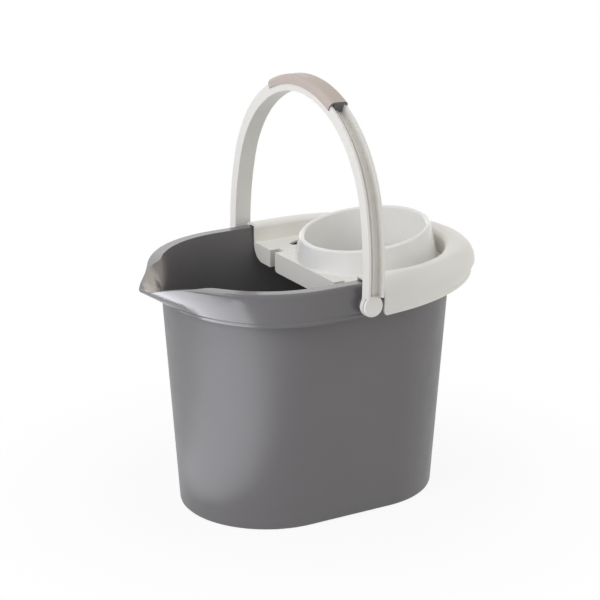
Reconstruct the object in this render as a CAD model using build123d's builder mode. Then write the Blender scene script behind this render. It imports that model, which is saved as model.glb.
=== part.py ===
"""Household mop bucket with a pouring spout, a lift-out wringer and a swinging carrying handle."""
import os
from math import atan2, cos, degrees, exp, radians, sin, sqrt, tan

from build123d import *

os.makedirs("parts", exist_ok=True)

# All lengths are in millimetres and all angles in degrees.
# X runs along the bucket with the spout at -X, Y across it, Z up from the floor.

# Tub: straight sides, two round ends and a draft from base to rim
straight_length = 96.0
base_end_radius = 92.0
rim_end_radius = 110.0
rim_height = 262.0
wall = 2.2
floor_thickness = 2.6
base_edge_radius = 3.5
floor_edge_radius = 5.0
edge_round_steps = 3
foot_width = 9.0
foot_height = 1.5

# Rim flange, with a skirt hanging from it round the front and sides
flange_width = 11.5
flange_thickness = 2.4
flange_edge_radius = 4.0
rear_flange_width = 3.4
skirt_overhang = 12.0
skirt_depth = 34.0
skirt_bead = 0.8
skirt_bead_height = 3.0
skirt_front_land = 1.3
skirt_end_gap = 2.0
hollow_front_reach = 70.0

# Spout: the rim swells forward into a thin-walled beak and dips towards its tip
spout_reach = 41.5
spout_spread = 9.8
spout_tip_angle = 0.8
spout_drop = 12.0
dip_start_reach = 80.0
dip_overrun = 3.0
spout_sharpness = 1.3
shoulder_angle = 26.0
shoulder_sharpness = 8.0
lip_thickness = 3.0
outline_steps = 14
outline_crowding = 1.6

# Pivots of the handle
pivot_x = -4.0
pivot_drop = 20.0
pivot_side_clearance = 0.5
boss_radius = 8.5
boss_stand = 6.5
boss_root = 2.6
pin_radius = 5.0
pin_grip = 15.0
pin_end_gap = 0.5
pin_end_chamfer = 0.8
pin_seat_clearance = 0.02
pin_running_clearance = 0.05
pin_head_radius = 10.8
pin_head_thickness = 2.6
pin_head_edge = 0.9

# Handle: an arch of channel section, open outwards, with a low rib along its middle
handle_width = 18.5
handle_depth = 12.0
handle_web = 3.0
handle_edge = 2.4
handle_rib = 2.0
handle_rib_height = 2.8
handle_leg = 26.4
handle_draw_in = 5.0
handle_side_turn = 14.8
handle_lean = 1.4
eye_radius = 11.4
eye_thickness = 5.0
flange_end = 9.4

# Grip: a cap on the outside of the handle's top
grip_half_angle = 26.5
grip_crown = 4.8
grip_wall = 1.8
grip_hollow_radius = 1.4
grip_lip = 5.0
grip_cheek = 1.4
grip_shoulder_radius = 5.5
grip_clearance = 0.15

# Wringer frame: a rounded cap on the rear rim round a sunken deck
cap_slope = 3.2
cap_rise = 3.8
cap_depth = 41.3
cap_bead = 0.8
cap_bead_height = 3.0
cap_corner = 4.0
cap_inner_edge = 5.0
cap_wall = 2.4
cap_side_overhang = 13.5
cap_side_swell = 1.5
cap_rear_overhang = 26.0
cap_rear_swell = 5.0
cap_roll_height = 22.0
cap_roll_side = 10.0
cap_roll_rear = 24.0
cap_round_steps = 5
cap_bend_lead = 13.0
cap_skirt_gap = 9.6
rim_clearance = 1.1
frame_wall = 2.4
deck_drop = 16.0
deck_thickness = 2.4
seat_rib_thickness = 2.2
seat_rib_count = 7
fascia_depth = 21.5
fascia_half_width = 60.0
fascia_corner = 4.0
front_land = 0.5
notch_width = 10.0
notch_depth = 12.0
tab_depth = 19.0
tab_corner = 18.0
drain_slot_radius = 89.0
drain_slot_width = 9.0
drain_slot_half_angle = 28.0

# Wringer cone: a flared collar on the deck with a slotted cone hanging inside it
collar_foot_radius = 75.5
collar_height = 32.0
collar_flare = 12.2
collar_wall = 2.2
rear_gap = 2.8
cone_rim_slope = 7.5
cone_rim_width = 4.4
cone_rim_round = 1.5
cone_rim_thickness = 4.0
cone_depth = 124.0
cone_bottom_radius = 40.0
cone_wall = 2.2
cone_floor = 2.6
cone_slot_count = 12
cone_slot_width = 5.0
cone_slot_low = 10.0
cone_slot_length = 55.0
press_rib_width = 3.0
press_rib_height = 2.4
press_rib_length = 62.0
floor_hole_radius = 3.5
floor_hole_ring = 24.0
floor_hole_count = 8
lip_ring_height = 4.0
lip_ring_wall = 2.4
lip_ring_clearance = 0.4

# Places worked out from the sizes above
rear_x = straight_length / 2
front_x = -rear_x
skirt_low = rim_height - skirt_depth
flange_radius = rim_end_radius + flange_width
skirt_radius = rim_end_radius + skirt_overhang
pivot_z = rim_height - pivot_drop
boss_face = skirt_radius + boss_stand
handle_inner = boss_face + pivot_side_clearance
handle_half_width = handle_inner + handle_depth
cap_skirt_front = pivot_x + eye_radius + cap_skirt_gap
outward = {-1: Align.MAX, 1: Align.MIN}


def wall_radius(height):
    """Outside radius of the tub's round ends at a height."""
    return base_end_radius + (rim_end_radius - base_end_radius) * height / rim_height


def pivot_plane(side, distance):
    """Plane across the pivot axis at a distance out to one side, facing outwards."""
    return Plane(origin=(pivot_x, side * distance, pivot_z), x_dir=(1, 0, 0), z_dir=(0, side, 0))


# Bucket

skirt_front = wall_radius(skirt_low) + skirt_front_land
skirt_rear_x = cap_skirt_front - skirt_end_gap
boss_root_y = rim_end_radius - boss_root
spout_tip_radius = flange_radius + spout_reach
spout_tip_radius -= (spout_tip_radius - skirt_front) * spout_drop / skirt_depth
dip_run = spout_tip_radius - dip_start_reach
dip_radius = (dip_run**2 + spout_drop**2) / (2 * spout_drop)
dip_sweep = 2 * degrees(atan2(spout_drop, dip_run)) + dip_overrun
dip_start_x = front_x - dip_start_reach
beak_x = front_x - flange_radius - spout_reach
channel_low = wall_radius(skirt_low) - wall
channel_high = rim_end_radius - wall
channel_shoulder = flange_radius - lip_thickness - channel_high


def tub(height_low, height_high, inset, edge):
    """Solid of the tub between two heights, its wall set in and its lower edge rounded."""
    with BuildPart(mode=Mode.PRIVATE) as body:
        for step in range(edge_round_steps + 1):
            turn = radians(90 * step / edge_round_steps)
            height = height_low + edge * (1 - cos(turn))
            half = wall_radius(height) - inset - edge * (1 - sin(turn))
            with BuildSketch(Plane.XY.offset(height)):
                SlotCenterToCenter(straight_length, 2 * half)
        with BuildSketch(Plane.XY.offset(height_high)):
            SlotCenterToCenter(straight_length, 2 * (wall_radius(height_high) - inset))
        loft(ruled=True)
    return body.part


def rim_outline(side, front, reach, shoulder):
    """Face of a rim outline whose front end steps out to a shoulder and on into a beak."""
    points = []
    for step in range(-outline_steps, outline_steps + 1):
        share = abs(step / outline_steps) ** outline_crowding
        angle = 90 * share if step > 0 else -90 * share
        away = sqrt(angle**2 + spout_tip_angle**2) - spout_tip_angle
        swell = reach * exp(-((away / spout_spread) ** spout_sharpness)) * cos(radians(angle))
        swell += shoulder * exp(-((abs(angle) / shoulder_angle) ** shoulder_sharpness))
        x = front_x - (front + swell) * cos(radians(angle))
        y = (side + swell) * sin(radians(angle))
        points.append((x, y))
    with BuildLine() as outline:
        Spline(*points, tangents=[(-1, 0), (1, 0)], tangent_scalars=[1, 1])
        Line(points[-1], (rear_x, side))
        ThreePointArc((rear_x, side), (rear_x + side, 0), (rear_x, -side))
        Line((rear_x, -side), points[0])
    make_face(outline.edges())


def skirt_outline(height, inset):
    """Face of the skirt's outside at a height, set in by an amount."""
    share = (height - skirt_low) / skirt_depth
    side = skirt_radius + (flange_radius - skirt_radius) * share
    front = skirt_front + (flange_radius - skirt_front) * share
    rim_outline(side - inset, front - inset, spout_reach * share, 0)


# Space under the flange: inside the skirt, and all of it behind the skirt's rear ends
with BuildPart() as skirt_hollow:
    with BuildSketch(Plane.XY.offset(skirt_low)):
        rim_outline(skirt_radius - wall, skirt_front - wall, 0, 0)
    with BuildSketch(Plane.XY.offset(rim_height - flange_thickness)):
        rim_outline(flange_radius - wall, flange_radius - wall, 0, 0)
    loft(ruled=True)
    with BuildSketch(Plane.XY.offset(skirt_low)):
        with Locations((skirt_rear_x - wall, 0)):
            hollow_length = skirt_rear_x - wall - front_x + hollow_front_reach
            Rectangle(hollow_length, 4 * skirt_radius, align=(Align.MAX, Align.CENTER))
    extrude(amount=skirt_depth, mode=Mode.INTERSECT)
    with BuildSketch(Plane.XY.offset(skirt_low)):
        with Locations((skirt_rear_x, 0)):
            Rectangle(4 * skirt_radius, 4 * skirt_radius, align=(Align.MIN, Align.CENTER))
    extrude(amount=skirt_depth)
    with BuildSketch(Plane.XY.offset(rim_height - flange_thickness)):
        SlotCenterToCenter(straight_length, 2 * (rim_end_radius + rear_flange_width))
    extrude(amount=flange_thickness, mode=Mode.SUBTRACT)
    add(tub(0, rim_height, 0, base_edge_radius), mode=Mode.SUBTRACT)

# Inside of the tub, opening forwards into the spout's channel
with BuildPart() as cavity:
    add(tub(floor_thickness, skirt_low, wall, floor_edge_radius))
    with BuildSketch(Plane.XY.offset(skirt_low)):
        SlotCenterToCenter(straight_length, 2 * channel_low)
    with BuildSketch(Plane.XY.offset(rim_height)):
        rim_outline(channel_high, channel_high, spout_reach, channel_shoulder)
    loft(ruled=True)

with BuildPart() as bucket:
    add(tub(0, rim_height, 0, base_edge_radius))
    for height in (skirt_low, skirt_low + skirt_bead_height):
        with BuildSketch(Plane.XY.offset(height)):
            skirt_outline(height, -skirt_bead)
    with BuildSketch(Plane.XY.offset(skirt_low + skirt_bead_height + skirt_bead)):
        skirt_outline(skirt_low + skirt_bead_height + skirt_bead, 0)
    for step in range(edge_round_steps + 1):
        turn = radians(90 * step / edge_round_steps)
        height = rim_height - flange_edge_radius * (1 - sin(turn))
        with BuildSketch(Plane.XY.offset(height)):
            skirt_outline(height, flange_edge_radius * (1 - cos(turn)))
    loft(ruled=True)
    add(skirt_hollow.part, mode=Mode.SUBTRACT)
    for side in (-1, 1):
        with BuildSketch(pivot_plane(side, boss_root_y)):
            Circle(boss_radius)
        extrude(amount=boss_face - boss_root_y)
    add(cavity.part, mode=Mode.SUBTRACT)
    for side in (-1, 1):
        with BuildSketch(pivot_plane(side, boss_face - pin_grip)):
            Circle(pin_radius + pin_seat_clearance)
        extrude(amount=pin_grip, mode=Mode.SUBTRACT)
    with BuildSketch(Plane.XZ):
        with BuildLine():
            dip = JernArc((dip_start_x, rim_height), (-1, 0), dip_radius, dip_sweep)
            above = rim_height + spout_drop
            Polyline(dip @ 1, (beak_x, (dip @ 1).Y), (beak_x, above), (dip_start_x, above), dip @ 0)
        make_face()
    extrude(amount=skirt_radius, both=True, mode=Mode.SUBTRACT)
    with BuildSketch():
        SlotCenterToCenter(straight_length, 2 * (base_end_radius - base_edge_radius - foot_width))
    extrude(amount=foot_height, mode=Mode.SUBTRACT)

bucket.part.label = "bucket"
export_step(bucket.part, "parts/bucket.step")

# Pivot pins

head_y = handle_inner + eye_thickness + pivot_side_clearance
pin_end_y = boss_face - pin_grip + pin_end_gap

with BuildPart() as pivot_pin_left:
    with BuildSketch(pivot_plane(-1, pin_end_y)):
        Circle(pin_radius)
    extrude(amount=head_y - pin_end_y)
    chamfer(pivot_pin_left.edges().group_by(Axis.Y)[-1], pin_end_chamfer)
    with BuildSketch(pivot_plane(-1, head_y)):
        Circle(pin_head_radius)
    extrude(amount=pin_head_thickness)
    chamfer(pivot_pin_left.edges().group_by(Axis.Y)[0], pin_head_edge)

pivot_pin_left.part.label = "pivot_pin_left"
export_step(pivot_pin_left.part, "parts/pivot_pin_left.step")

with BuildPart() as pivot_pin_right:
    add(pivot_pin_left.part.mirror(Plane.XZ))

pivot_pin_right.part.label = "pivot_pin_right"
export_step(pivot_pin_right.part, "parts/pivot_pin_right.step")

# Handle

lean = radians(handle_lean)
handle_plane = Plane(
    origin=(pivot_x, 0, pivot_z), x_dir=(0, 1, 0), z_dir=(cos(lean), 0, -sin(lean))
)
handle_top_radius = handle_half_width - handle_draw_in
shoulder_reach = handle_draw_in / (1 - cos(radians(handle_side_turn)))
handle_side_radius = handle_top_radius + shoulder_reach
handle_top_centre = handle_leg + shoulder_reach * sin(radians(handle_side_turn))


def arch(inset, low, mode):
    """Face under an arch set in from the handle's outside, down to a height over the pivots."""
    half = handle_half_width - inset
    with BuildLine() as outline:
        leg = Line((half, low), (half, handle_leg))
        side = JernArc(leg @ 1, (0, 1), handle_side_radius - inset, handle_side_turn)
        top = JernArc(side @ 1, side % 1, handle_top_radius - inset, 180 - 2 * handle_side_turn)
        far = JernArc(top @ 1, top % 1, handle_side_radius - inset, handle_side_turn)
        Polyline(far @ 1, (-half, low), (half, low))
    make_face(outline.edges(), mode=mode)


with BuildPart() as handle:
    with BuildSketch(handle_plane):
        arch(0, 0, Mode.ADD)
        arch(handle_depth, 0, Mode.SUBTRACT)
    extrude(amount=handle_width / 2, both=True)
    with BuildSketch(handle_plane):
        arch(-handle_depth, 0, Mode.ADD)
        arch(handle_depth - handle_web, 0, Mode.SUBTRACT)
    extrude(amount=handle_width / 2 - handle_edge, both=True, mode=Mode.SUBTRACT)
    with BuildSketch(handle_plane):
        arch(handle_depth - handle_web - handle_rib_height, eye_radius, Mode.ADD)
        arch(handle_depth - handle_web, eye_radius, Mode.SUBTRACT)
    extrude(amount=handle_rib / 2, both=True)
    for side in (-1, 1):
        with BuildSketch(pivot_plane(side, handle_inner + eye_thickness)):
            with Locations((0, -side * flange_end)):
                Rectangle(2 * handle_width, handle_width, align=(Align.CENTER, outward[side]))
        extrude(amount=handle_depth, mode=Mode.SUBTRACT)
        with BuildSketch(pivot_plane(side, handle_inner)):
            Circle(eye_radius)
        extrude(amount=eye_thickness)
        with BuildSketch(pivot_plane(side, handle_inner)):
            Circle(pin_radius + pin_running_clearance)
        extrude(amount=handle_depth, mode=Mode.SUBTRACT)

handle.part.label = "handle"
export_step(handle.part, "parts/handle.step")

# Handle grip

grip_width = handle_width + 2 * (grip_clearance + grip_cheek)
grip_turn = radians(grip_half_angle)
grip_centre = handle_plane.from_local_coords((0, handle_top_centre, 0))
grip_out = handle_plane.y_dir * cos(grip_turn) + handle_plane.x_dir * sin(grip_turn)
grip_plane = Plane(
    origin=grip_centre, x_dir=handle_plane.z_dir, z_dir=handle_plane.z_dir.cross(grip_out)
)

with BuildPart() as handle_grip:
    with BuildSketch(grip_plane) as grip_section:
        with Locations((0, handle_top_radius - grip_lip)):
            Rectangle(grip_width, grip_lip + grip_crown, align=(Align.CENTER, Align.MIN))
        fillet(grip_section.vertices().group_by(Axis.Y)[-1], grip_shoulder_radius)
        with Locations((0, handle_top_radius + grip_clearance)):
            Rectangle(
                handle_width + 2 * grip_clearance,
                handle_depth,
                align=(Align.CENTER, Align.MAX),
                mode=Mode.SUBTRACT,
            )
        with Locations((0, handle_top_radius + (grip_crown - grip_wall) / 2)):
            RectangleRounded(
                handle_width - 2 * handle_edge,
                grip_crown - grip_wall,
                grip_hollow_radius,
                mode=Mode.SUBTRACT,
            )
    revolve(axis=Axis(grip_centre, handle_plane.z_dir), revolution_arc=2 * grip_half_angle)

handle_grip.part.label = "handle_grip"
export_step(handle_grip.part, "parts/handle_grip.step")

# Wringer frame

deck_z = rim_height - deck_drop
cap_top = rim_height + cap_rise
cap_low = cap_top - cap_depth
cap_bend_x = rear_x - cap_bend_lead
frame_radius = wall_radius(deck_z - deck_thickness) - wall - rim_clearance
cone_x = rear_x + frame_radius - frame_wall - rear_gap - collar_foot_radius
well_radius = frame_radius - frame_wall
corner_z = cap_low + cap_skirt_front * tan(radians(cap_slope))
frame_front_x = cone_x - collar_foot_radius - front_land
front_plane = Plane.YZ.offset(frame_front_x)
collar_slope = tan(radians(collar_flare))
lip_ring_radius = collar_foot_radius - collar_wall / cos(radians(collar_flare))
lip_ring_radius -= collar_slope * lip_ring_height + lip_ring_clearance


def cap_plane(height):
    """Plane that rises to the rear with the cap's lower edge, at a height over the middle."""
    slope = radians(cap_slope)
    along = (cos(slope), 0, sin(slope))
    return Plane(origin=(0, 0, height), x_dir=along, z_dir=(-sin(slope), 0, cos(slope)))


def cap_outline(half, reach):
    """Face of the cap's outline: straight sides and a half-ellipse round the rear."""
    with BuildLine() as outline:
        EllipticalCenterArc((cap_bend_x, 0), reach, half, -90, arc_size=180)
        corner = (frame_front_x, half)
        Polyline((cap_bend_x, half), corner, (frame_front_x, -half), (cap_bend_x, -half))
    make_face(outline.edges())


def cap_body(inset, drop):
    """Solid of the cap set in by an amount, its lower edge carried down by a drop."""
    half = rim_end_radius + cap_side_overhang - inset
    reach = rear_x + rim_end_radius + cap_rear_overhang - cap_bend_x - inset
    with BuildPart(mode=Mode.PRIVATE) as body:
        for height in (cap_low - drop, cap_low + cap_bead_height):
            with BuildSketch(cap_plane(height)):
                cap_outline(half + cap_bead, reach + cap_bead)
        with BuildSketch(cap_plane(cap_low + cap_bead_height + cap_bead)):
            cap_outline(half, reach)
        for step in range(cap_round_steps + 1):
            turn = radians(90 * step / cap_round_steps)
            height = cap_top - cap_roll_height + (cap_roll_height - inset) * sin(turn)
            side_out = cap_side_swell - cap_roll_side * (1 - cos(turn))
            rear_out = cap_rear_swell - cap_roll_rear * (1 - cos(turn))
            with BuildSketch(Plane.XY.offset(height)):
                cap_outline(half + side_out, reach + rear_out)
        loft(ruled=True)
    return body.part


with BuildPart() as well:
    with BuildSketch(Plane.XY.offset(deck_z - deck_thickness)):
        SlotCenterToCenter(straight_length, 2 * frame_radius)
    extrude(amount=cap_top - deck_z + deck_thickness)

# Ribs under the cap that stand on the tub's rim
with BuildPart() as seat_ribs:
    with Locations((rear_x, 0, rim_height)):
        with PolarLocations(frame_radius - frame_wall, seat_rib_count, -90, 180, endpoint=True):
            low_corner = (Align.MIN, Align.CENTER, Align.MIN)
            Box(cap_depth, seat_rib_thickness, cap_depth, align=low_corner)
    add(cap_body(cap_wall, 0), mode=Mode.INTERSECT)

with BuildPart() as wringer_frame:
    add(cap_body(0, 0))
    add(cap_body(cap_wall, cap_wall), mode=Mode.SUBTRACT)
    add(seat_ribs.part)
    add(well.part)
    with BuildSketch(Plane.XY.offset(deck_z)):
        SlotCenterToCenter(straight_length, 2 * well_radius)
    for step in range(edge_round_steps + 1):
        turn = radians(90 * step / edge_round_steps)
        with BuildSketch(Plane.XY.offset(cap_top - cap_inner_edge * (1 - sin(turn)))):
            half = well_radius + cap_inner_edge * (1 - cos(turn))
            SlotCenterToCenter(straight_length, 2 * half)
    loft(ruled=True, mode=Mode.SUBTRACT)
    with BuildSketch(Plane.XY.offset(deck_z - cap_depth)):
        with Locations((frame_front_x, 0)):
            Rectangle(4 * rim_end_radius, 4 * rim_end_radius, align=(Align.MAX, Align.CENTER))
    extrude(amount=2 * cap_depth, mode=Mode.SUBTRACT)
    for side in (-1, 1):
        with BuildSketch(Plane.XZ.offset(-side * frame_radius)):
            with BuildLine():
                corner_up = (cap_skirt_front, corner_z + cap_corner)
                corner_in = (cap_skirt_front + cap_corner, corner_z)
                TangentArc(corner_up, corner_in, tangent=(0, -1))
                away = cap_skirt_front - rim_end_radius
                Polyline(
                    corner_in,
                    (cap_skirt_front + cap_corner, corner_z - cap_depth),
                    (away, corner_z - cap_depth),
                    (away, rim_height),
                    (cap_skirt_front, rim_height),
                    corner_up,
                )
            make_face()
        extrude(amount=-side * rim_end_radius, mode=Mode.SUBTRACT)
        with BuildSketch(Plane.XY.offset(rim_height)):
            with Locations((cap_skirt_front, side * flange_radius)):
                Rectangle(rim_end_radius, rim_end_radius, align=(Align.MAX, outward[side]))
        extrude(amount=cap_depth, mode=Mode.SUBTRACT)
        with BuildSketch(front_plane):
            with BuildLine():
                tab_low = deck_z - tab_depth
                tab_inner = side * (fascia_half_width + notch_width)
                tab_outer = side * frame_radius
                bend_in = (tab_outer - side * tab_corner, tab_low)
                bend_up = (tab_outer, tab_low + tab_corner)
                TangentArc(bend_up, bend_in, tangent=(0, -1))
                Polyline(bend_in, (tab_inner, tab_low), (tab_inner, deck_z), (tab_outer, deck_z), bend_up)
            make_face()
        extrude(amount=frame_wall)
        with BuildSketch(front_plane):
            with Locations((side * (fascia_half_width + notch_width), deck_z)):
                Rectangle(frame_wall, tab_depth, align=(outward[side], Align.MAX))
            with Locations((side * fascia_half_width, deck_z)):
                Rectangle(frame_wall, tab_depth, align=(outward[-side], Align.MAX))
        extrude(amount=notch_depth)
    with BuildSketch(front_plane) as fascia:
        with Locations((0, deck_z)):
            Rectangle(2 * fascia_half_width, fascia_depth, align=(Align.CENTER, Align.MAX))
        fillet(fascia.vertices().group_by(Axis.Y)[0], fascia_corner)
    extrude(amount=frame_wall)
    for side in (-1, 1):
        with BuildSketch(Plane.XY.offset(deck_z)):
            with Locations((frame_front_x, side * fascia_half_width)):
                Rectangle(notch_depth, notch_width, align=(Align.MIN, outward[side]))
            with BuildLine(mode=Mode.PRIVATE) as drain_line:
                first_angle = side * 90 - drain_slot_half_angle
                CenterArc((cone_x, 0), drain_slot_radius, first_angle, 2 * drain_slot_half_angle)
            SlotArc(drain_line.edge(), drain_slot_width)
        extrude(amount=-deck_thickness, mode=Mode.SUBTRACT)
    with BuildSketch(Plane.XY.offset(deck_z)):
        with Locations((cone_x, 0)):
            Circle(lip_ring_radius)
    extrude(amount=lip_ring_height)
    with BuildSketch(Plane.XY.offset(deck_z - deck_thickness)):
        with Locations((cone_x, 0)):
            Circle(lip_ring_radius - lip_ring_wall)
    extrude(amount=deck_thickness + lip_ring_height, mode=Mode.SUBTRACT)

wringer_frame.part.label = "wringer_frame"
export_step(wringer_frame.part, "parts/wringer_frame.step")

# Wringer cone

rim_slope = radians(cone_rim_slope)
collar_mid_radius = collar_foot_radius - collar_slope * collar_height
rim_front_radius = collar_mid_radius / (1 - collar_slope * tan(rim_slope))
rim_rear_radius = collar_mid_radius / (1 + collar_slope * tan(rim_slope))
rim_shift = (rim_rear_radius - rim_front_radius) / 2
rim_centre = Vector(cone_x + rim_shift, 0, deck_z + collar_height + rim_shift * tan(rim_slope))
rim_plane = Plane(
    origin=rim_centre,
    x_dir=(cos(rim_slope), 0, sin(rim_slope)),
    z_dir=(-sin(rim_slope), 0, cos(rim_slope)),
)
cone_axis = Axis(rim_centre, rim_plane.z_dir)
cone_section = Plane(origin=rim_centre, x_dir=rim_plane.x_dir, z_dir=-rim_plane.y_dir)
cone_mouth_radius = collar_mid_radius - cone_rim_width
cone_floor_depth = cone_depth - cone_floor
cone_spread = (cone_mouth_radius - cone_bottom_radius) / cone_floor_depth


def collar(inset, drop):
    """Solid of the flared collar set in by an amount, its sloping top lowered by a drop."""
    with BuildPart(mode=Mode.PRIVATE) as body:
        with BuildSketch(Plane(origin=(cone_x, 0, deck_z), x_dir=(1, 0, 0), z_dir=(0, -1, 0))):
            foot = collar_foot_radius - inset / cos(radians(collar_flare))
            top = foot - 2 * collar_slope * collar_height
            Polygon((0, 0), (foot, 0), (top, 2 * collar_height), (0, 2 * collar_height), align=None)
        revolve(axis=Axis((cone_x, 0, 0), (0, 0, 1)))
        split(bisect_by=rim_plane.offset(-drop), keep=Keep.BOTTOM)
    return body.part


def cone_spoke(index):
    """Outward direction of one of the evenly spaced places round the cone."""
    turn = radians(360 * index / cone_slot_count)
    return rim_plane.x_dir * cos(turn) + rim_plane.y_dir * sin(turn)


with BuildPart() as wringer_cone:
    add(collar(0, 0))
    add(collar(collar_wall, cone_rim_thickness), mode=Mode.SUBTRACT)
    with BuildSketch(cone_section):
        Polygon(
            (0, -cone_rim_thickness / 2),
            (cone_mouth_radius + cone_wall, -cone_rim_thickness / 2),
            (cone_bottom_radius + cone_wall, -cone_depth),
            (0, -cone_depth),
            align=None,
        )
    revolve(axis=cone_axis)
    with BuildSketch(cone_section):
        Polygon(
            (0, 0),
            (cone_mouth_radius, 0),
            (cone_bottom_radius, -cone_floor_depth),
            (0, -cone_floor_depth),
            align=None,
        )
    revolve(axis=cone_axis, mode=Mode.SUBTRACT)
    chamfer(wringer_cone.edges().group_by(cone_axis)[-1], cone_rim_round)
    slot_middle = cone_depth - cone_slot_low - cone_slot_length / 2
    for index in range(cone_slot_count):
        slot_origin = rim_centre - rim_plane.z_dir * slot_middle
        with BuildSketch(Plane(origin=slot_origin, x_dir=rim_plane.z_dir, z_dir=cone_spoke(index))):
            SlotCenterToCenter(cone_slot_length - cone_slot_width, cone_slot_width)
        extrude(amount=cone_mouth_radius, mode=Mode.SUBTRACT)
    for index in range(cone_slot_count):
        spoke = cone_spoke(index + 0.5)
        rib_top = press_rib_length - cone_floor_depth
        rib_out = cone_bottom_radius + cone_spread * press_rib_length
        with BuildSketch(Plane(origin=rim_centre, x_dir=spoke, z_dir=spoke.cross(rim_plane.z_dir))):
            Polygon(
                (cone_bottom_radius - press_rib_height, -cone_floor_depth),
                (cone_bottom_radius + cone_wall / 2, -cone_floor_depth),
                (rib_out + cone_wall / 2, rib_top),
                align=None,
            )
        extrude(amount=press_rib_width / 2, both=True)
    with BuildSketch(rim_plane.offset(-cone_depth)):
        Circle(floor_hole_radius)
        with PolarLocations(floor_hole_ring, floor_hole_count):
            Circle(floor_hole_radius)
    extrude(amount=cone_floor, mode=Mode.SUBTRACT)

wringer_cone.part.label = "wringer_cone"
export_step(wringer_cone.part, "parts/wringer_cone.step")
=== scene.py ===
"""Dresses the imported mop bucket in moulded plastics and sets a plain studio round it."""
import math

import bmesh
import bpy
from mathutils import Matrix, Vector


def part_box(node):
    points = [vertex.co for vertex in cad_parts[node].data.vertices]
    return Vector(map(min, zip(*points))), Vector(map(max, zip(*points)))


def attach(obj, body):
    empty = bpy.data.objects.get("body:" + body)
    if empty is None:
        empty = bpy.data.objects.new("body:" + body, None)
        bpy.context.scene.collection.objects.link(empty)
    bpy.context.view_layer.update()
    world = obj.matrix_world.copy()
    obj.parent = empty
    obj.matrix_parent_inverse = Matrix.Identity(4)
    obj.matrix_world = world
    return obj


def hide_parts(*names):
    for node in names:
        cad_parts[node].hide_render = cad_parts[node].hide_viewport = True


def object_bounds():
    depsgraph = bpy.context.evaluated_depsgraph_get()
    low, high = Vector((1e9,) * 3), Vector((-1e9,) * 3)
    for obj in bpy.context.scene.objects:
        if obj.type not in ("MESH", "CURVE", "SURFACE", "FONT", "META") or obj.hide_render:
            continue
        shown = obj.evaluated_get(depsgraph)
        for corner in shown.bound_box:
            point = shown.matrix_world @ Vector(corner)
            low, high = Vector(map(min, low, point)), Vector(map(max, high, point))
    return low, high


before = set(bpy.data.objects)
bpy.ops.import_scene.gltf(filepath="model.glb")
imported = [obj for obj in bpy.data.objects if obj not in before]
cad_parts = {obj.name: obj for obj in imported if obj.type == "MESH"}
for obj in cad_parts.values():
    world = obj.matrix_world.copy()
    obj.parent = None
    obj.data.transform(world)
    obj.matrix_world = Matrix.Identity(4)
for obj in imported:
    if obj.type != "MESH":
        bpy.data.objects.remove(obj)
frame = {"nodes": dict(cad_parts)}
solid_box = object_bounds()

bl_info = {
    "name": "Mop Bucket Looks",
    "version": (1, 0, 0),
    "blender": (4, 5, 0),
    "location": "View3D > Sidebar > Mop Bucket",
    "description": "Dresses the mop bucket in moulded plastics and sets a studio round it",
    "category": "Object",
}

# Lengths are in metres, as the frame's are
mm = 0.001

# Clean copies of the solids and their rounded edges
merge_distance = 0.01 * mm
flat_angle = math.radians(0.2)
crease_angle = math.radians(32)
edge_segments = 2

# Shares of a face's normal along an axis from which it counts as facing that way
top_facing = 0.5
end_facing = 0.8

# Dark grey plugs in the handle's channel at the grip's ends, painted shade for the shadowed hollows
# there
shade_plug_width = 13.5 * mm
shade_plug_thickness = 4 * mm
shade_plug_inset = 0.4 * mm
shade_plug_drop = 4 * mm
shade_plug_cover = 1.2 * mm

# What all the moulded plastics share
plastic_ior = 1.49
cloud_width = 70 * mm
cloud_shares = (0.95, 1.04)
patch_width = 22 * mm
patch_shares = (0.88, 1.12)
wave_width = 55 * mm
wave_height = 0.5 * mm
wave_strength = 0.2

# Tints of the lamps and cards
cool_white = (0.97, 0.98, 1.05)
warm_white = (1.0, 0.98, 0.93)
beige_white = (1.0, 0.9, 0.8)

# Floor: half its side, and the ring in which the bucket's soft shadow fades into plain white
floor_reach = 6
shadow_start = 180 * mm
shadow_end = 400 * mm
shadow_white = 0.9

# Cards: their widths and heights, and where they stand
spout_card_size = (310 * mm, 360 * mm)
spout_card_place = (-315 * mm, -90 * mm, 4 * mm)
spout_card_spread = math.radians(128)
rear_card_size = (1600 * mm, 900 * mm)
rear_card_azimuth = math.radians(150)
rear_card_elevation = math.radians(20)
rear_card_distance = 1300 * mm
beak_card_size = (44 * mm, 34 * mm)
beak_card_target = (-160 * mm, 75 * mm, 246 * mm)
beak_card_azimuth = math.radians(54)
beak_card_distance = 40 * mm

# Width of the camera's sensor in millimetres
sensor_width = 36


def linear(hex_colour):
    """Linear red, green and blue of an sRGB hex colour."""
    channels = [int(hex_colour[place:place + 2], 16) / 255 for place in (0, 2, 4)]
    return [c / 12.92 if c <= 0.04045 else ((c + 0.055) / 1.055) ** 2.4 for c in channels]


class PlasticColours(bpy.types.PropertyGroup):
    """Colours of the moulded plastics"""

    bucket: bpy.props.FloatVectorProperty(
        name="Bucket",
        description="Grey of the tub and its rim",
        subtype="COLOR",
        default=linear("706e6f"),
    )
    frame: bpy.props.FloatVectorProperty(
        name="Wringer frame",
        description="Off-white of the cap and deck on the rear rim",
        subtype="COLOR",
        default=linear("efede6"),
    )
    cone: bpy.props.FloatVectorProperty(
        name="Wringer cone",
        description="White of the glossy cone",
        subtype="COLOR",
        default=linear("f0efeb"),
    )
    handle: bpy.props.FloatVectorProperty(
        name="Handle",
        description="Off-white of the handle and its pins",
        subtype="COLOR",
        default=linear("eeece6"),
    )
    grip: bpy.props.FloatVectorProperty(
        name="Grip",
        description="Taupe of the grip on the handle's top",
        subtype="COLOR",
        default=linear("c4b8ae"),
    )


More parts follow.
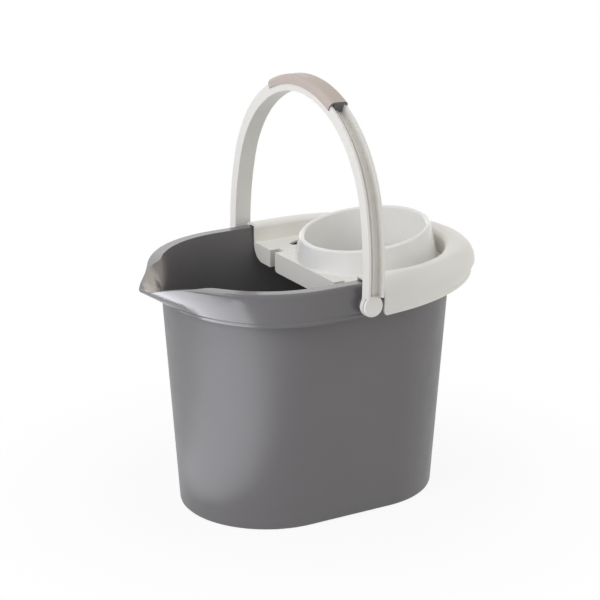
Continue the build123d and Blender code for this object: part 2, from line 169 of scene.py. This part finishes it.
class EdgeSizes(bpy.types.PropertyGroup):
    """Rounding of each piece's edges, and where the bucket's polish ends"""

    bucket: bpy.props.FloatProperty(
        name="Bucket",
        description="Rounding of the edges of the tub and its rim",
        unit="LENGTH",
        min=0,
        default=0.6 * mm,
    )
    rim_depth: bpy.props.FloatProperty(
        name="Rim depth",
        description="How far down from the top the polish of the rim goes",
        unit="LENGTH",
        min=0,
        default=34.2 * mm,
    )
    beak_length: bpy.props.FloatProperty(
        name="Beak length",
        description="How far back from the spout's tip the polish goes inside the beak",
        unit="LENGTH",
        min=0,
        default=47 * mm,
    )
    wringer: bpy.props.FloatProperty(
        name="Wringer",
        description="Rounding of the edges of the frame and the cone",
        unit="LENGTH",
        min=0,
        default=0.6 * mm,
    )
    handle: bpy.props.FloatProperty(
        name="Handle",
        description="Rounding of the edges of the handle, its grip and its pins",
        unit="LENGTH",
        min=0,
        default=0.5 * mm,
    )


class StudioSettings(bpy.types.PropertyGroup):
    """Camera and light of the studio"""

    azimuth: bpy.props.FloatProperty(
        name="Azimuth",
        description="Turn of the camera round the bucket from its near side",
        subtype="ANGLE",
        default=math.radians(-30.5),
    )
    elevation: bpy.props.FloatProperty(
        name="Elevation",
        description="Angle at which the camera looks down",
        subtype="ANGLE",
        default=math.radians(18.3),
    )
    distance: bpy.props.FloatProperty(
        name="Distance",
        description="Way from the camera to the point that it looks at",
        unit="LENGTH",
        min=0.1,
        default=2236 * mm,
    )
    target: bpy.props.FloatVectorProperty(
        name="Target",
        description="Point that the camera looks at",
        subtype="XYZ",
        unit="LENGTH",
        default=(-7.8 * mm, 0, 210.9 * mm),
    )
    lens: bpy.props.FloatProperty(
        name="Lens",
        description="Focal length of the camera, in millimetres on a 36 mm sensor",
        min=1,
        default=129,
    )
    room_light: bpy.props.FloatProperty(
        name="Room light",
        description="Strength of the even light from all round",
        min=0,
        default=0.5,
    )
    key_light: bpy.props.FloatProperty(
        name="Key light",
        description="Share of full light that the large soft lamp at the spout's side throws",
        min=0,
        default=0.46,
    )
    fill_light: bpy.props.FloatProperty(
        name="Fill light",
        description="Share of full light that the soft lamp at the wringer's side throws",
        min=0,
        default=0.15,
    )
    top_light: bpy.props.FloatProperty(
        name="Top light",
        description="Share of full light that the soft lamp overhead throws",
        min=0,
        default=0.06,
    )
    spout_card: bpy.props.FloatProperty(
        name="Spout card",
        description="Brightness of the card by the spout that shows only in reflections",
        min=0,
        default=5.1,
    )
    rear_card: bpy.props.FloatProperty(
        name="Rear card",
        description="Brightness of the card behind the bucket that shows only in reflections",
        min=0,
        default=0.6,
    )
    beak_card: bpy.props.FloatProperty(
        name="Beak card",
        description="Brightness of the small card in the beak that shows only in reflections",
        min=0,
        default=1.6,
    )


def add_node(tree, kind, settings=None, links=None):
    """Adds a node, sets its properties and inputs by name and links outputs to its inputs."""
    node = tree.nodes.new(kind)
    for name, value in (settings or {}).items():
        if hasattr(node, name):
            setattr(node, name, value)
        else:
            node.inputs[name].default_value = value
    for name, output in (links or {}).items():
        tree.links.new(output, node.inputs[name])
    return node


def empty_tree(owner):
    """Node tree of a material or the world, with no nodes in it."""
    owner.use_nodes = True
    owner.node_tree.nodes.clear()
    return owner.node_tree


def moulded_plastic(name, colour, roughness, grain, relief):
    """Material of a plastic from a mould whose surface had a grain of a width and a height."""
    material = bpy.data.materials.new(name)
    tree = empty_tree(material)
    place = add_node(tree, "ShaderNodeTexCoord").outputs["Object"]

    # Pigment never mixes quite evenly, so clouds as wide as a hand are a little lighter or darker
    clouds = add_node(
        tree, "ShaderNodeTexNoise", {"Scale": 1 / cloud_width, "Detail": 3}, {"Vector": place}
    )
    tints = add_node(tree, "ShaderNodeValToRGB", None, {"Fac": clouds.outputs["Fac"]})
    for stop, share in zip(tints.color_ramp.elements, cloud_shares):
        stop.color = [channel * share for channel in colour] + [1]

    # Handling polishes some places and dulls others
    patches = add_node(
        tree, "ShaderNodeTexNoise", {"Scale": 1 / patch_width, "Detail": 5}, {"Vector": place}
    )
    smoothest, roughest = [share * roughness for share in patch_shares]
    sheen = add_node(
        tree,
        "ShaderNodeMapRange",
        {"From Min": 0.3, "From Max": 0.7, "To Min": smoothest, "To Max": roughest},
        {"Value": patches.outputs["Fac"]},
    )

    # The slow waves that thin walls take as they cool
    waves = add_node(tree, "ShaderNodeTexNoise", {"Scale": 1 / wave_width}, {"Vector": place})
    wavy = add_node(
        tree,
        "ShaderNodeBump",
        {"Distance": wave_height, "Strength": wave_strength},
        {"Height": waves.outputs["Fac"]},
    )

    # The mould's own grain is a few tenths of a millimetre wide, and is drawn coarser to show
    grains = add_node(
        tree, "ShaderNodeTexNoise", {"Scale": 1 / grain, "Detail": 2}, {"Vector": place}
    )
    grainy = add_node(
        tree,
        "ShaderNodeBump",
        {"Distance": relief, "Strength": 1},
        {"Height": grains.outputs["Fac"], "Normal": wavy.outputs["Normal"]},
    )
    plastic = add_node(
        tree,
        "ShaderNodeBsdfPrincipled",
        {"IOR": plastic_ior},
        {
            "Base Color": tints.outputs["Color"],
            "Roughness": sheen.outputs["Result"],
            "Normal": grainy.outputs["Normal"],
        },
    )
    add_node(tree, "ShaderNodeOutputMaterial", None, {"Surface": plastic.outputs["BSDF"]})
    return material


def round_edges(shape, edges, rounding):
    """Rounds edges of a shape as a mould does."""
    bmesh.ops.bevel(
        shape,
        geom=edges,
        offset=rounding,
        affect="EDGES",
        segments=edge_segments,
        profile=0.5,
        material=-1,
        clamp_overlap=True,
        loop_slide=True,
    )


def add_object(name, shape, material):
    """Adds an object of a shape and a material to the scene."""
    mesh = bpy.data.meshes.new(name)
    shape.to_mesh(mesh)
    shape.free()
    mesh.materials.append(material)
    item = bpy.data.objects.new(name, mesh)
    bpy.context.scene.collection.objects.link(item)
    return item


def dress(node, body, rounding, material):
    """Stands a copy of a solid in its place, with rounded edges and a finished material."""
    shape = bmesh.new()
    shape.from_mesh(frame["nodes"][node].data)
    bmesh.ops.remove_doubles(shape, verts=shape.verts, dist=merge_distance)
    bmesh.ops.dissolve_limit(shape, angle_limit=flat_angle, verts=shape.verts, edges=shape.edges)
    sharp = [edge for edge in shape.edges if edge.calc_face_angle() > crease_angle]
    round_edges(shape, sharp, rounding)
    for face in shape.faces:
        face.smooth = True
    piece = add_object(node + "_dressed", shape, material)
    piece.modifiers.new("Even shading", "WEIGHTED_NORMAL").keep_sharp = True
    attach(piece, body)
    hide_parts(node)
    return piece


def middle(box):
    """Middle of a box that is given by its lowest and highest corners."""
    return (Vector(box[0]) + Vector(box[1])) / 2


class MOP_OT_bucket(bpy.types.Operator):
    """Dresses the bucket in grey polypropylene"""

    bl_idname = "mop.bucket"
    bl_label = "Bucket"

    def execute(self, context):
        colours = context.scene.plastic_colours
        sizes = context.scene.edge_sizes
        # Polypropylene from a spark-textured mould: a soft, broad sheen
        textured = moulded_plastic(
            "Polypropylene grey spark textured",
            colours.bucket,
            roughness=0.44,
            grain=1.0 * mm,
            relief=0.012 * mm,
        )
        piece = dress("bucket", "bucket", sizes.bucket, textured)
        # The same polypropylene where the mould was polished: crisp reflections on rim and beak
        polished = moulded_plastic(
            "Polypropylene grey polished",
            colours.bucket,
            roughness=0.2,
            grain=3.0 * mm,
            relief=0.002 * mm,
        )
        piece.data.materials.append(polished)
        lowest_corner, highest_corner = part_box("bucket")
        rim_low = highest_corner[2] - sizes.rim_depth
        beak_end = lowest_corner[0] + sizes.beak_length
        for face in piece.data.polygons:
            lowest = min(piece.data.vertices[corner].co.z for corner in face.vertices)
            outward = face.normal.x * face.center.x + face.normal.y * face.center.y > 0
            inside_beak = face.center.x < beak_end
            on_top = face.normal.z > top_facing
            if lowest > rim_low and (outward or inside_beak or on_top):
                face.material_index = 1
        return {"FINISHED"}


class MOP_OT_wringer(bpy.types.Operator):
    """Dresses the wringer's frame and cone in white polypropylene"""

    bl_idname = "mop.wringer"
    bl_label = "Wringer"

    def execute(self, context):
        colours = context.scene.plastic_colours
        rounding = context.scene.edge_sizes.wringer
        # Polypropylene from a fine matt mould: a soft gradient with no hard reflections
        satin = moulded_plastic(
            "Polypropylene white satin",
            colours.frame,
            roughness=0.5,
            grain=0.9 * mm,
            relief=0.008 * mm,
        )
        dress("wringer_frame", "wringer", rounding, satin)
        # Polypropylene from a polished mould: crisp reflections of the lamps
        gloss = moulded_plastic(
            "Polypropylene white polished",
            colours.cone,
            roughness=0.12,
            grain=3.0 * mm,
            relief=0.002 * mm,
        )
        dress("wringer_cone", "wringer", rounding, gloss)
        return {"FINISHED"}


class MOP_OT_handle(bpy.types.Operator):
    """Dresses the handle, its grip and its pivot pins"""

    bl_idname = "mop.handle"
    bl_label = "Handle"

    def execute(self, context):
        colours = context.scene.plastic_colours
        rounding = context.scene.edge_sizes.handle
        # Polypropylene from a mould a little smoother than the frame's: soft highlights
        satin = moulded_plastic(
            "Polypropylene white fine satin",
            colours.handle,
            roughness=0.42,
            grain=0.9 * mm,
            relief=0.008 * mm,
        )
        dress("handle", "handle", rounding, satin)
        for side in ("left", "right"):
            dress("pivot_pin_" + side, "bucket", rounding, satin)
        # Elastomer from a sand-blasted mould: dull, with a wide faint highlight
        matt = moulded_plastic(
            "Elastomer taupe matt",
            colours.grip,
            roughness=0.5,
            grain=0.9 * mm,
            relief=0.02 * mm,
        )
        grip = dress("handle_grip", "handle", rounding, matt)
        # Dull dark grey plastic on the grip's end faces and in the channel beyond: painted shade
        # where the grip's ends lie in shadow
        painted_shade = moulded_plastic(
            "Painted shade grey matt",
            colours.bucket,
            roughness=0.5,
            grain=0.9 * mm,
            relief=0.008 * mm,
        )
        grip.data.materials.append(painted_shade)
        # The grip's end faces take the dark grey: painted shade
        for face in grip.data.polygons:
            if abs(face.normal.y) > end_facing:
                face.material_index = 1
        self.add_grip_shade_plugs(rounding, painted_shade)
        return {"FINISHED"}

    def add_grip_shade_plugs(self, rounding, material):
        """Closes the handle's channel at both ends of the grip with dark grey blocks: painted shade
        for the shadowed hollows there.
        """
        grip = frame["nodes"]["handle_grip"].data
        across = Vector((1, 0, 0))
        centred = across * middle(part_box("handle_grip")).x
        shape = bmesh.new()
        for side in (-1, 1):
            ends = [face for face in grip.polygons if face.normal.y * side > end_facing]
            outward = ends[0].normal
            upward = across.cross(outward) * side
            corners = [grip.vertices[corner].co for face in ends for corner in face.vertices]
            low = min(corner.dot(upward) for corner in corners) - shade_plug_drop
            high = max(corner.dot(upward) for corner in corners) - shade_plug_cover
            depth = max(corner.dot(outward) for corner in corners) - shade_plug_inset - shade_plug_thickness / 2
            place = Matrix.Translation(centred + upward * (low + high) / 2 + outward * depth)
            axes = Matrix((across * shade_plug_width, upward * (high - low), outward * shade_plug_thickness))
            bmesh.ops.create_cube(shape, size=1, matrix=place @ axes.transposed().to_4x4())
        bmesh.ops.recalc_face_normals(shape, faces=shape.faces)
        round_edges(shape, shape.edges, rounding)
        plugs = add_object("grip_shade_plugs", shape, material)
        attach(plugs, "handle")


def direction(azimuth, elevation):
    """Unit vector from the middle of the studio towards a place round it."""
    level = math.cos(elevation)
    return Vector((math.sin(azimuth) * level, -math.cos(azimuth) * level, math.sin(elevation)))


def aim(item, target, towards, distance):
    """Sets a lamp, a card or the camera at a distance from a target, looking at it."""
    item.location = Vector(target) + towards * distance
    item.rotation_euler = towards.to_track_quat("Z", "Y").to_euler()


class MOP_OT_studio(bpy.types.Operator):
    """Sets the floor, the room's light, the lamps, the cards and the camera"""

    bl_idname = "mop.studio"
    bl_label = "Studio"

    def execute(self, context):
        scene = context.scene
        studio = scene.studio_settings
        scene.view_settings.view_transform = "Standard"
        self.add_floor()
        self.add_room(scene, studio)
        self.add_lamps(scene, studio)
        self.add_cards(scene, studio)
        camera = bpy.data.objects.new("Camera", bpy.data.cameras.new("Camera"))
        camera.data.lens = studio.lens
        camera.data.sensor_width = sensor_width
        scene.collection.objects.link(camera)
        aim(camera, studio.target, direction(studio.azimuth, studio.elevation), studio.distance)
        scene.camera = camera
        return {"FINISHED"}

    def add_floor(self):
        """A white floor that the camera sees as lit evenly, apart from the bucket's shadow."""
        shape = bmesh.new()
        bmesh.ops.create_grid(shape, x_segments=1, y_segments=1, size=floor_reach)
        # Matt paper: no reflections, and plain white outside the bucket's soft shadow
        material = bpy.data.materials.new("Paper white matt")
        tree = empty_tree(material)
        place = add_node(tree, "ShaderNodeTexCoord").outputs["Object"]
        away = add_node(tree, "ShaderNodeVectorMath", {"operation": "LENGTH"}, {"Vector": place})
        share = add_node(
            tree,
            "ShaderNodeMapRange",
            {"From Min": shadow_start, "From Max": shadow_end, "To Min": shadow_white, "To Max": 1},
            {"Value": away.outputs["Value"]},
        )
        path = add_node(tree, "ShaderNodeLightPath")
        seen = add_node(
            tree,
            "ShaderNodeMath",
            {"operation": "MAXIMUM"},
            {0: path.outputs["Is Camera Ray"], 1: path.outputs["Is Glossy Ray"]},
        )
        factor = add_node(
            tree,
            "ShaderNodeMath",
            {"operation": "MULTIPLY"},
            {0: share.outputs["Result"], 1: seen.outputs["Value"]},
        )
        paper = add_node(tree, "ShaderNodeBsdfDiffuse", {"Color": linear("f3f3f3") + [1]})
        glow = add_node(tree, "ShaderNodeEmission", {"Color": linear("ffffff") + [1], "Strength": 1})
        mixed = add_node(
            tree,
            "ShaderNodeMixShader",
            None,
            {0: factor.outputs["Value"], 1: paper.outputs["BSDF"], 2: glow.outputs["Emission"]},
        )
        add_node(tree, "ShaderNodeOutputMaterial", None, {"Surface": mixed.outputs["Shader"]})
        floor = add_object("Floor", shape, material)

    def add_room(self, scene, studio):
        """An even room light, which the camera and reflections see as plain white."""
        world = bpy.data.worlds.new("Room")
        tree = empty_tree(world)
        path = add_node(tree, "ShaderNodeLightPath")
        seen = add_node(
            tree,
            "ShaderNodeMath",
            {"operation": "MAXIMUM"},
            {0: path.outputs["Is Camera Ray"], 1: path.outputs["Is Glossy Ray"]},
        )
        strength = add_node(
            tree,
            "ShaderNodeMapRange",
            {"To Min": studio.room_light, "To Max": 1},
            {"Value": seen.outputs["Value"]},
        )
        light = add_node(
            tree,
            "ShaderNodeBackground",
            {"Color": linear("ffffff") + [1]},
            {"Strength": strength.outputs["Result"]},
        )
        add_node(tree, "ShaderNodeOutputWorld", None, {"Surface": light.outputs["Background"]})
        scene.world = world

    def add_light(self, scene, name, tint, size):
        """A rectangle of a width and a height that gives light."""
        light = bpy.data.lights.new(name, "AREA")
        light.shape = "RECTANGLE"
        light.size, light.size_y = size
        light.color = tint
        item = bpy.data.objects.new(name, light)
        scene.collection.objects.link(item)
        return item

    def add_lamps(self, scene, studio):
        """Soft lamps, each throwing a share of full light on the middle of the bucket."""
        # Name, share, tint, azimuth and elevation in degrees, distance, width and height
        lamps = (
            ("Key lamp", studio.key_light, cool_white, -80, 30, 1.6, (1.0, 1.3)),
            ("Fill lamp", studio.fill_light, warm_white, 65, 20, 1.8, (1.2, 1.2)),
            ("Top lamp", studio.top_light, warm_white, 60, 80, 1.6, (1.4, 1.4)),
        )
        for name, share, tint, azimuth, elevation, distance, size in lamps:
            lamp = self.add_light(scene, name, tint, size)
            lamp.data.energy = share * (math.pi * distance) ** 2
            towards = direction(math.radians(azimuth), math.radians(elevation))
            aim(lamp, middle(solid_box), towards, distance)

    def add_card(self, scene, name, brightness, tint, size):
        """A bright card that lights nothing and shows only in reflections."""
        card = self.add_light(scene, name, tint, size)
        card.data.energy = brightness * math.pi * card.data.size * card.data.size_y
        card.visible_camera = False
        card.visible_diffuse = False
        return card

    def add_cards(self, scene, studio):
        """Bright cards by the spout, behind the bucket and in the beak, which its polish mirrors."""
        card = self.add_card(scene, "Spout card", studio.spout_card, cool_white, spout_card_size)
        card.location = spout_card_place
        card.rotation_euler = (math.pi, 0, 0)
        card.data.spread = spout_card_spread
        card = self.add_card(scene, "Rear card", studio.rear_card, warm_white, rear_card_size)
        towards = direction(rear_card_azimuth, rear_card_elevation)
        aim(card, studio.target, towards, rear_card_distance)
        card = self.add_card(scene, "Beak card", studio.beak_card, beige_white, beak_card_size)
        aim(card, beak_card_target, direction(beak_card_azimuth, 0), beak_card_distance)


class MOP_PT_looks(bpy.types.Panel):
    """Lists the steps that dress the bucket, and their settings"""

    bl_label = "Mop Bucket"
    bl_space_type = "VIEW_3D"
    bl_region_type = "UI"
    bl_category = "Mop Bucket"

    def draw(self, context):
        scene = context.scene
        for settings in (scene.plastic_colours, scene.edge_sizes, scene.studio_settings):
            for name in settings.bl_rna.properties.keys():
                if name not in ("rna_type", "name"):
                    self.layout.prop(settings, name)
        for step in (MOP_OT_bucket, MOP_OT_wringer, MOP_OT_handle, MOP_OT_studio):
            self.layout.operator(step.bl_idname)


classes = (
    PlasticColours,
    EdgeSizes,
    StudioSettings,
    MOP_OT_bucket,
    MOP_OT_wringer,
    MOP_OT_handle,
    MOP_OT_studio,
    MOP_PT_looks,
)


def register():
    """Makes the settings, the steps and the panel known."""
    for each in classes:
        bpy.utils.register_class(each)
    bpy.types.Scene.plastic_colours = bpy.props.PointerProperty(type=PlasticColours)
    bpy.types.Scene.edge_sizes = bpy.props.PointerProperty(type=EdgeSizes)
    bpy.types.Scene.studio_settings = bpy.props.PointerProperty(type=StudioSettings)


def unregister():
    """Takes back what register makes known."""
    del bpy.types.Scene.plastic_colours
    del bpy.types.Scene.edge_sizes
    del bpy.types.Scene.studio_settings
    for each in reversed(classes):
        bpy.utils.unregister_class(each)


def main():
    """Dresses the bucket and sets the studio."""
    register()
    bpy.ops.mop.bucket()
    bpy.ops.mop.wringer()
    bpy.ops.mop.handle()
    bpy.ops.mop.studio()


if __name__ == "__main__":
    main()
